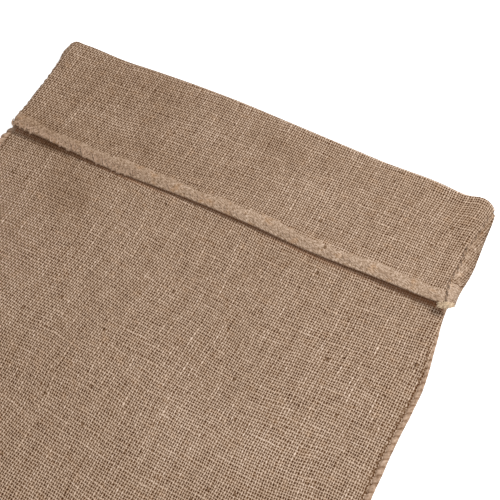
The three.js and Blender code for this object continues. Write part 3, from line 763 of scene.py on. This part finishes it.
def hessian_material(name):
    """Plain-woven hessian, drawn from the thread counts on the mesh."""
    material, add = new_material(name)
    threads, felt_tone_and_painted_light, seam = [
        (add("Attribute", attribute_name=key), "Vector") for key in ("threads", "felt_tone_and_painted_light", "seam")
    ]
    felt_tone_and_painted_light, seam = add("SeparateXYZ", [felt_tone_and_painted_light]), add("SeparateXYZ", [seam])
    warp = yarn_set(add, threads, "X", "Y", 3.0, 0.37)
    weft = yarn_set(add, threads, "Y", "X", 31.0, 0.34)
    # Each yarn rises over one crossing and dips under the next. The colour ramp paints the dip with shade,
    # and the bump takes the same heights.
    for yarn, crossing, flip, top in ((warp, weft, 0.0, 0.84), (weft, warp, 1.0, 0.79)):
        phase = add("ADD", (crossing["place"], yarn["index"]))
        phase = add("ADD", (phase, flip - 0.5))
        phase = add("MULTIPLY", (phase, math.pi))
        wave = add("COSINE", [phase])
        crown = add("MULTIPLY_ADD", (wave, 0.16, top))
        yarn["height"] = add("MULTIPLY", (crown, yarn["round_top"]))
    height = add("MAXIMUM", (warp["height"], weft["height"]))
    # Painted light: each crown is drawn lighter on one flank, as a lamp from one side would light it, which
    # draws faint diagonals through the weave, in colour and in the bump. Towards the right it is fainter.
    lean = add("SUBTRACT", (warp["place"], weft["place"]))
    lean = add("MULTIPLY_ADD", (lean, math.pi, FLANK_LIGHT_PHASE))
    lean = add("COSINE", [lean])
    flank_light_strength = add("MapRange", between(warp["place"], -80, 40, 0.1, 0.045))
    lean = add("MULTIPLY_ADD", (lean, flank_light_strength, 1.0))
    height = add("MULTIPLY", (height, lean))
    weft_on_top = add("GREATER_THAN", (weft["height"], warp["height"]))
    tone = add("Mix", {0: weft_on_top, 2: warp["tone"], 3: weft["tone"]}, data_type="FLOAT")

    # Unevenness over the whole cloth, each at its own scale, in threads.
    noise = {}
    for key, stretch, detail in (
        ("patches", (0.11, 0.13, 1), 3.0),
        ("ragged", (0.45, 0.45, 1), 3.0),
        ("streaks", (0.22, 0.022, 1), 2.0),
        ("tan", (0.16, 0.3, 1), 3.0),
        ("slubs", (0.7, 0.8, 1), 2.0),
        ("bark", (0.5, 0.42, 1), 0.0),
    ):
        noise[key] = uneven(add, threads, stretch, detail)

    # Loose fibre fills the holes in soft patches. Along the felted hem it fills all of them first, and
    # then buries the yarns too. Its own fibres lie nearly along the wefts.
    patches = add("MapRange", between(noise["patches"], 0.45, 0.75, 0, 0.5))
    hem = add("MULTIPLY_ADD", (noise["ragged"], 1.4, -0.7))
    hem = add("ADD", ((felt_tone_and_painted_light, "X"), hem))
    filling = add("MapRange", between(hem, 0.1, 0.5))
    burying = add("MapRange", between(hem, 0.3, 1, 0, 0.8))
    felt = add("MAXIMUM", (patches, filling))
    slant = {"Rotation": (0, 0, 0.3), "Scale": (1.15, 0.4, 1)}
    slant = add("Mapping", {"Vector": threads, **slant}, vector_type="TEXTURE")
    fibres = add("TexNoise", {"Vector": slant, "Scale": 1.0, "Detail": 4.0})
    mat = add("MapRange", between(fibres, 0.3, 0.7, 0.52, 1.04))
    filled = add("MULTIPLY", (felt, mat))
    level = add("MAXIMUM", (height, filled))
    level = add("Mix", {0: burying, 2: level, 3: mat}, data_type="FLOAT")

    # Beside a seam each stitch bulges over the cloth, so a scalloped groove runs along it, which is painted
    # dark as painted shade.
    lobe = add("MULTIPLY", ((seam, "Y"), math.pi))
    for operation in ("SINE", "ABSOLUTE"):
        lobe = add(operation, [lobe])
    lobe = add("MULTIPLY_ADD", (lobe, 2.2, -0.8))
    lobe = add("MULTIPLY_ADD", (noise["ragged"], 2.0, lobe))
    groove = add("SUBTRACT", ((seam, "X"), lobe))
    groove = add("ABSOLUTE", [groove])
    groove = add("MapRange", between(groove, 0.2, 1, 1, 0))
    groove = add("MULTIPLY", (groove, (seam, "Z")))
    light_left = add("MULTIPLY_ADD", (groove, -0.75, 1.0))
    level = add("MULTIPLY", (level, light_left))

    # The ramp gives the holes painted shade, for the shaded cloth seen through them. It gives the yarns'
    # sides and dips painted shade and their crowns a painted highlight, over the jute's own browns.
    ramp = add("ValToRGB", {"Fac": level})
    ramp.color_ramp.elements[0].color = linear(HOLE_SHADE_COLOUR)
    ramp.color_ramp.elements[1].color = linear(YARN_CROWN)
    ramp.color_ramp.elements.new(0.22).color = linear(YARN_EDGE)
    ramp.color_ramp.elements.new(0.66).color = linear(YARN_BODY)
    tan = add("MapRange", between(noise["tan"], 0.56, 0.72))
    tan = add("MULTIPLY", (tan, level))
    tan_reach = add("MULTIPLY_ADD", ((felt_tone_and_painted_light, "X"), 0.25, 0.13))
    tan = add("MULTIPLY", (tan, tan_reach))
    colour = add("Mix", {0: tan, 6: ramp, 7: linear(TAN_FIBRE)}, data_type="RGBA")

    # The tone of each yarn, brighter where it is pale, then streaks of like yarns, slubs, and flecks of bark
    # left in the fibre, and last the patches of tone, with their painted shade and painted light, the painted
    # shade under the mouth and the painted highlight on the fold's crest.
    pale = add("MapRange", between(tone, 0.68, 0.95, 0, 0.16))
    tone = add("MapRange", between(tone, 0, 1, 0.84, 1.1))
    tone = add("ADD", (tone, pale))
    for key, *reach in (
        ("streaks", 0.3, 0.7, 0.95, 1.05),
        ("slubs", 0.3, 0.7, 0.95, 1.05),
        ("bark", 0.77, 0.84, 1, 0.45),
    ):
        factor = add("MapRange", between(noise[key], *reach))
        tone = add("MULTIPLY", (tone, factor))
    patch_tone_and_painted_light = add("MULTIPLY_ADD", ((felt_tone_and_painted_light, "Y"), 0.22, 1.0))
    tone = add("MULTIPLY", (tone, patch_tone_and_painted_light))
    # Jute reddens as it darkens, so green and blue fall faster than red; the painted shade reddens the same
    # way.
    green, blue = [add("POWER", (tone, power)) for power in CLOTH_REDDENS]
    tint = add("CombineColor", (tone, green, blue))
    colour = add("Mix", {0: 1.0, 6: (colour, 2), 7: tint}, **TINTED)
    # Painted shade: the gap under the hem is painted a deep brown.
    gap = add("MULTIPLY", ((felt_tone_and_painted_light, "Z"), 0.75))
    colour = add("Mix", {0: gap, 6: (colour, 2), 7: linear(GAP_SHADE_COLOUR)}, data_type="RGBA")
    matt_surface(add, colour, level, raised=0.0006, roughness=0.92)
    return material


hessian = hessian_material("woven_hessian")
print("nodes in the hessian:", len(hessian.node_tree.nodes))

# %% The sack's cloth
threads = np.stack([warps, wefts, 0 * warps], axis=-1).reshape(-1, 3)
felt_tone_and_painted_light = cloth_felt_tone_and_painted_light(grid, along).reshape(-1, 3)
seam = seam_grooves(grid, along).reshape(-1, 3)
cloth = mesh_object(
    "jute_cloth",
    grid.reshape(-1, 3),
    grid_faces(*grid.shape[:2]),
    hessian,
    {"threads": threads, "felt_tone_and_painted_light": felt_tone_and_painted_light, "seam": seam},
)
thicken = cloth.modifiers.new("thickness", "SOLIDIFY")
thicken.thickness = CLOTH * MM
thicken.offset = 0
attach(cloth, "root")
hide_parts("sack_cloth")
print("cloth faces:", len(cloth.data.polygons))

# %% [markdown]
# ## Overlocked side seams
#
# The two layers are joined along each side by an overlock stitch: thick jute yarn wraps round both raw
# edges and pulls them into a rope-like welt. Below the flap the welts stand at the sack's sides. On the
# flap the right one is turned over with the cloth, and lies pressed flat as a strip on its face. A welt is
# swept along its path, and its section changes from the round rope to the flat strip on the way.

# %% A seam's path
# The welt is a little flattened in the fold, and flattens to a strip down the flap. It lies this far
# above the flap's cloth.
FOLD_FLAT, FLATTENS, STRIP_LIFT = 0.3, (8, 30), 0.1


def seam_stations(body, fold, flap, flap_height):
    """One row for each station along a seam, with the length reached there."""
    stations = [dict(row, z=REST_GAP + SEAM_HEIGHT / 2, height=SEAM_HEIGHT, flat=0) for row in body]
    stations += [dict(row, height=FLAP_SEAM_HEIGHT, flat=FOLD_FLAT) for row in fold]
    for row in flap:
        flat = float(ease(*FLATTENS, row["down"]))
        stations.append(dict(row, z=flap_height(row["x"], row["down"]), height=FLAP_SEAM_HEIGHT, flat=flat))
    reach = 0
    for before, row in zip([stations[0]] + stations, stations):
        reach += math.dist((before["down"], before["z"]), (row["down"], row["z"]))
        row["along"] = reach
    return stations


def above_flap(x, down):
    return float(outer_height(x, down)) + CLOTH / 2 + FLAP_SEAM_HEIGHT / 2 + STRIP_LIFT


def under_flap(x, down):
    return float(outer_height(x, down)) - CLOTH / 2 - REST_GAP - FLAP_SEAM_HEIGHT / 2


right_stations = seam_stations(RIGHT_SEAM_BODY, RIGHT_SEAM_FOLD, RIGHT_SEAM_FLAP, above_flap)
left_stations = seam_stations(LEFT_SEAM_BODY, LEFT_SEAM_FOLD, LEFT_SEAM_FLAP, under_flap)
print(f"right seam {right_stations[-1]['along']:.0f} mm, left seam {left_stations[-1]['along']:.0f} mm")

# %% A welt swept along the path
WELT_SIDES, WELT_STEP = 20, 1.0
# A stitch bulges by a share of the welt's size, less so at the outer side, and about its mean height.
BULGE, BULGE_LESS_OUT, MEAN_BULGE = 0.3, 0.35, 0.72
# The strip's inner edge is sewn down, so it sinks by this much, and its stitches end in small teeth.
INNER_SINK, TEETH = 0.9, 0.5
# Where the welt is flatter than this, its material is felted cloth, whose weave leans over.
STRIP_FROM, STRIP_LEAN = 0.25, math.radians(12)
# The strip is creased across here, and its last stitches bunch up within this length beyond the crease.
STRIP_CREASE, BUNCH_ZONE = 102, (0, 3)


def welt(name, stations, drop):
    """A rope of wrapped stitches, then a flat strip, whose outer edge drops by this much."""
    count = round(stations[-1]["along"] / WELT_STEP)
    along = np.linspace(0, stations[-1]["along"], count)
    path = {key: read(stations, key, along, "along") for key in ("x", "down", "z", "width", "height", "flat")}
    centre = np.stack([path["x"], path["down"], path["z"]], axis=1)
    tangent = np.gradient(centre, axis=0) * [0, -1, 1]
    tangent /= np.linalg.norm(tangent, axis=1)[:, None]
    upward = np.cross([1.0, 0, 0], tangent) * [1, -1, 1]
    angle = 2 * math.pi * (np.arange(WELT_SIDES) + 0.5) / WELT_SIDES
    flat = path["flat"][:, None]
    # A flat strip has a squarer section than a rope.
    power = 1 - 0.5 * flat
    across = np.sign(np.cos(angle)) * np.abs(np.cos(angle)) ** power
    above = np.sign(np.sin(angle)) * np.abs(np.sin(angle)) ** power
    # Each stitch bulges between two diagonal creases.
    turns = along[:, None] / STITCH_PITCH + angle[None] / (2 * math.pi)
    bulge = np.abs(np.sin(math.pi * turns)) ** 0.8
    wobble = 0.05 * np.sin(along[:, None] / 11) + 0.04 * np.sin(along[:, None] / 4.7 + 1)
    inward = BULGE - BULGE_LESS_OUT * np.cos(angle)[None]
    swell = 1 + (inward * (bulge - MEAN_BULGE) + wobble) * (1 - 0.75 * flat)
    teeth = TEETH * np.sin(2 * math.pi * along / STITCH_PITCH)[:, None] * flat * (np.cos(angle) < 0)
    # The strip is thin along its inner edge, where it is sewn down into the cloth.
    inner = flat * np.clip(-across, 0, 1) ** 2
    side = across * path["width"][:, None] / 2 * swell + teeth
    lift = above * path["height"][:, None] / 2 * swell * (1 - 0.4 * inner) - INNER_SINK * inner
    lift -= drop * flat * np.clip(across, 0, 1) ** 3
    points = centre[:, None] + side[:, :, None] * [1, 0, 0] + lift[:, :, None] * upward[:, None]
    quads, ends = tube_faces(count, WELT_SIDES)
    # The third number, larger between the stitches' bulges, darkens the creases there as painted shade.
    yarn = np.stack([turns, 0 * turns + angle / (2 * math.pi), 1 - bulge], axis=-1)
    cosine, sine = math.cos(STRIP_LEAN), math.sin(STRIP_LEAN)
    warp = (side * cosine + along[:, None] * sine) / WARP_PITCH
    weft = (along[:, None] * cosine - side * sine) / WEFT_PITCH
    threads = np.stack([warp, weft, 0 * weft], axis=-1)
    # The bunched stitches are paler and more felted. The crease runs a little aslant.
    beyond = path["down"][:, None] - STRIP_CREASE - 0.25 * side
    bunched = ease(*BUNCH_ZONE, beyond)
    felted = 0.3 + 0.12 * ease(0.5, -0.5, across) + 0.4 * bunched
    felt_tone_and_painted_light = np.stack([felted, -0.15 + 0.5 * bunched, 0 * side], axis=-1)
    # Along the strip's crease a scalloped line is painted dark, as painted shade, like the grooves beside the
    # seams.
    seam = np.stack([beyond, side / STITCH_PITCH, 0.8 + 0 * side], axis=-1)
    attributes = dict(yarn=yarn, threads=threads, felt_tone_and_painted_light=felt_tone_and_painted_light, seam=seam)
    piece = mesh_object(name, points.reshape(-1, 3), [*quads, *ends], jute_yarn, attributes)
    piece.data.materials.append(hessian)
    on_strip = np.repeat(path["flat"][:-1] > STRIP_FROM, WELT_SIDES)
    material_index = np.concatenate([on_strip, [False, True]]).astype(np.int32)
    piece.data.polygons.foreach_set("material_index", material_index)
    return piece


# %% Jute yarn
def yarn_material(name, dark, light):
    """Thick, hairy jute yarn, combed and loosely twisted: lighter than the cloth, with soft long fibres."""
    material, add = new_material(name)
    yarn = (add("Attribute", attribute_name="yarn"), "Vector")
    part = add("SeparateXYZ", [yarn])
    fibres = uneven(add, yarn, (3, 6, 0), 4.0)
    lumps = uneven(add, yarn, (0.8, 1.2, 0), 2.0)
    level = add("MapRange", between(fibres, 0.3, 0.7))
    level = add("Mix", {0: 0.45, 2: level, 3: lumps}, data_type="FLOAT")
    ramp = add("ValToRGB", {"Fac": level})
    for end, position, colour in zip(ramp.color_ramp.elements, (0.2, 0.8), (dark, light)):
        end.position, end.color = position, linear(colour)
    crease = add("MapRange", between((part, "Z"), 0.3, 0.95, 1, 0.5))
    # The welt's creases get painted shade, and strands get their own tone at random. Light that comes back
    # out of a crease has met more jute, so the shade is browner too.
    channels = [add("POWER", (crease, power)) for power in (1.0, *YARN_REDDENS)]
    crease = add("CombineColor", channels)
    colour = add("Mix", {0: 1.0, 6: ramp, 7: crease}, **TINTED)
    matt_surface(add, colour, fibres, raised=0.0004, roughness=0.9)
    return material


jute_yarn = yarn_material("spun_jute_yarn", "#6e543e", "#b59c87")

# %% The two side seams
OUTER_DROP = 3.2
for name, node, stations, drop in (
    ("right_overlock_seam", "right_seam", right_stations, OUTER_DROP),
    ("left_overlock_seam", "left_seam", left_stations, 0.0),
):
    piece = welt(name, stations, drop)
    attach(piece, "root")
    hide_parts(node)
    print(name, "faces:", len(piece.data.polygons))

# %% [markdown]
# ## Stitch yarn and a frayed end
#
# The overlock's yarn shows as loops along the mouth's hem, mostly at its left, and as short stitches that
# cross the groove beside the flap's strip. The last stitch ends in a pale tuft of combed fibre at the
# flap's right tip. Each is a thin tube along its own short path. A seeded generator makes them uneven,
# so every run gives the same yarn.

# %% Tubes along paths
# The yarn's twist turns once in this length. No strand runs along ASIDE, so its rings are measured from it.
STRAND_SIDES, TWIST_LENGTH, ASIDE = 6, 6, [0.13, 0.09, 1.0]


def strand(x, down, z, radius, shade=0):
    """One strand's path, its thickness and how dark it is."""
    return dict(path=np.stack([x, down, z], axis=1), radius=radius, shade=shade)


def strands(name, parts, material):
    """One mesh of closed tubes, one for each strand, which taper at both ends."""
    points, faces, yarn = [], [], []
    for part in parts:
        path = part["path"]
        tangent = np.gradient(path, axis=0)
        tangent /= np.linalg.norm(tangent, axis=1)[:, None] + 1e-9
        aside = np.cross(tangent, ASIDE)
        aside /= np.linalg.norm(aside, axis=1)[:, None] + 1e-9
        above = np.cross(aside, tangent)
        taper = np.sin(math.pi * np.linspace(0.04, 0.96, len(path))) ** 0.35
        angle = 2 * math.pi * np.arange(STRAND_SIDES) / STRAND_SIDES
        reach = part["radius"] * taper[:, None, None]
        ring = np.cos(angle)[None, :, None] * aside[:, None] + np.sin(angle)[None, :, None] * above[:, None]
        first = sum(len(p) for p in points)
        points.append((path[:, None] + ring * reach).reshape(-1, 3))
        quads, ends = tube_faces(len(path), STRAND_SIDES)
        faces += [first + face for face in (*quads[:, [0, 3, 2, 1]], *ends)]
        length = np.cumsum(np.r_[0, np.linalg.norm(np.diff(path, axis=0), axis=1)])
        turns = length[:, None] / TWIST_LENGTH + angle[None] / (2 * math.pi) + first
        wrap = 0 * turns + angle / (2 * math.pi)
        yarn.append(np.stack([turns, wrap, part["shade"] + 0 * turns], axis=-1).reshape(-1, 3))
    return mesh_object(name, np.concatenate(points), faces, material, dict(yarn=np.concatenate(yarn)))


# The flap's face rolls down by this much past the hem's edge.
HEM_ROLL = 2.4


def flap_top(x, down):
    """The height of the flap's face, which rolls down past the hem's edge."""
    edge = hem_line(x)
    flat = outer_height(x, np.minimum(down, edge - 1)) + CLOTH / 2
    return flat - HEM_ROLL * ease(edge - 1.2, edge + 1.4, down)


# %% Stitch yarn on the hem
# Loops stand close together from LOOPS_START to LOOPS_END, with their feet and a line of yarn this far
# back from the hem's edge. Beyond them only some short stitches show.
LOOPS_START, LOOPS_END, LOOP_FOOT, YARN_LINE = -246.0, -98, 6.8, 6.6
LOOP = dict(reach=(4.5, 7.6), lean=(-2.5, 2.5), wide=(4, 9), sway=(0, 1.6), lift=(-0.8, 0.5))
LOOP_RADIUS, LOOP_PITCH, LINE_RADIUS, MOST_SHADE = (0.7, 1.5), (2.5, 5), 0.7, 0.45
SHORT = dict(wide=(3, 6), back=(5, 9), reach=(2.5, 6), radius=(0.4, 0.7))
SHORT_END, SHORT_PITCH, SHORT_SHARE = 232, 6.5, 0.6

rng = np.random.default_rng(4)
hem_strands = []
x0 = LOOPS_START
while x0 < LOOPS_END:
    t = np.linspace(0, 1, 14)
    one = {key: rng.uniform(*reach) for key, reach in LOOP.items()}
    x = x0 + one["wide"] * (t - 0.5) + one["lean"] * np.sin(math.pi * t)
    x = x + one["sway"] * np.sin(2 * math.pi * t)
    down = hem_line(x) - LOOP_FOOT + one["reach"] * np.sin(math.pi * t) ** 0.8
    hem_strands.append(strand(x, down, flap_top(x, down) + one["lift"], rng.uniform(*LOOP_RADIUS)))
    x0 += rng.uniform(*LOOP_PITCH)
x = np.linspace(LOOPS_START - 1, LOOPS_END + 2, 150)
down = hem_line(x) - YARN_LINE + 0.9 * np.sin(2 * math.pi * x / 6.4)
hem_strands.append(strand(x, down, flap_top(x, down), LINE_RADIUS))
for x0 in np.arange(LOOPS_END + 6, SHORT_END, SHORT_PITCH):
    if rng.random() < SHORT_SHARE:
        t = np.linspace(0, 1, 8)
        one = {key: rng.uniform(*reach) for key, reach in SHORT.items()}
        x = x0 + one["wide"] * t
        down = hem_line(x) - one["back"] + one["reach"] * t
        hem_strands.append(strand(x, down, flap_top(x, down) - 0.1, one["radius"]))
for one in hem_strands:
    one["shade"] = rng.uniform(0, MOST_SHADE)
hem_yarn = strands("hem_stitch_yarn", hem_strands, jute_yarn)
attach(hem_yarn, "root")
print("stitches on the hem:", len(hem_strands))

# %% Stitches across the strip's groove
# Each stitch starts on the strip, reaches out over the groove, and slants. The strip's edge has sunk.
CROSSING = dict(start=(2.5, 3.6), reach=(4.2, 6), slant=(-2.6, 2.6), radius=(0.35, 0.6))
STITCHES_START, STITCHES_END, STITCH_FALL = 16, 124, 1.6
NEEDLE_RADIUS, NEEDLE_RISE, NEEDLE_WAVE, NEEDLE_SHADE = 1.25, 0.55, 0.5, 0.1

groove_strands = []
for down0 in np.arange(STITCHES_START, STITCHES_END, STITCH_PITCH / 2):
    t = np.linspace(0, 1, 9)
    edge = float(seam_side(RIGHT_SEAM_FLAP, down0, -1))
    one = {key: rng.uniform(*reach) for key, reach in CROSSING.items()}
    x = edge + one["start"] - one["reach"] * t
    down = down0 + one["slant"] * (t - 0.5) + STITCH_FALL * t
    cloth_top = outer_height(x, down) + CLOTH / 2
    strip_top = cloth_top + FLAP_SEAM_HEIGHT - INNER_SINK
    z = cloth_top + (strip_top - cloth_top) * ease(edge - 0.8, edge + 2.5, x) + STRIP_LIFT
    groove_strands.append(strand(x, down, z, one["radius"]))
# The needle yarn fills the groove itself, and waves a little.
down = np.linspace(STITCHES_START - 2, STITCHES_END + 2, 200)
wave = NEEDLE_WAVE * np.sin(2 * math.pi * down / STITCH_PITCH)
x = seam_side(RIGHT_SEAM_FLAP, down, -1) - 0.3 + wave
z = outer_height(x, down) + CLOTH / 2 + NEEDLE_RISE
groove_strands.append(strand(x, down, z, NEEDLE_RADIUS, NEEDLE_SHADE))
groove_yarn = strands("strip_stitch_yarn", groove_strands, jute_yarn)
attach(groove_yarn, "root")
print("stitches across the groove:", len(groove_strands))

# %% Frayed end
# A few thick lumps carry many fine fibres. The tuft starts here, and runs this far left, down and lower.
FRAYED_LUMPS, FRAYED_FIBRES = 9, 130
TUFT_X, TUFT_DOWN, TUFT_Z = 246.5, 128, 14.4
TUFT_LEFT, TUFT_LENGTH, TUFT_FALL, TURN, BEND = 12, 3.6, 4.4, (1.2, 2.9), (-1.2, 1.2)
LUMP = dict(length=(4, 6.5), spread=0.6, rise=0, radius=(1.7, 2.7), thins=0.4)
FIBRE = dict(length=(4, 9), spread=1.8, rise=1.3, radius=(0.22, 0.45), thins=0)

tuft_strands = []
t = np.linspace(0, 1, 10)
for lump in range(FRAYED_LUMPS + FRAYED_FIBRES):
    # The tuft lies from the strip's end down over the hem's edge, towards the left.
    kind = LUMP if lump < FRAYED_LUMPS else FIBRE
    share = (lump + 0.5) / FRAYED_LUMPS if kind is LUMP else rng.uniform(0, 1)
    x0, down0 = TUFT_X - TUFT_LEFT * share, TUFT_DOWN + TUFT_LENGTH * share
    z0 = TUFT_Z - TUFT_FALL * share**1.5
    turn, length = rng.uniform(*TURN), rng.uniform(*kind["length"])
    bend = rng.uniform(*BEND) * np.sin(math.pi * t)
    spread = kind["spread"]
    x = x0 + rng.uniform(-spread, spread) + length * math.cos(turn) * (t - 0.5) + bend
    down = down0 + rng.uniform(-spread, spread) + length * math.sin(turn) * (t - 0.5)
    z = z0 + rng.uniform(-0.5, 0.5) * spread + kind["rise"] + 0.6 * np.sin(math.pi * t)
    tuft_strands.append(strand(x, down, z, rng.uniform(*kind["radius"]) * (1 - kind["thins"] * share)))
combed_jute = yarn_material("combed_jute_tow", "#8f7457", "#e4cfb2")
tuft = strands("frayed_end", tuft_strands, combed_jute)
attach(tuft, "root")
print("lumps and fibres in the frayed end:", len(tuft_strands))
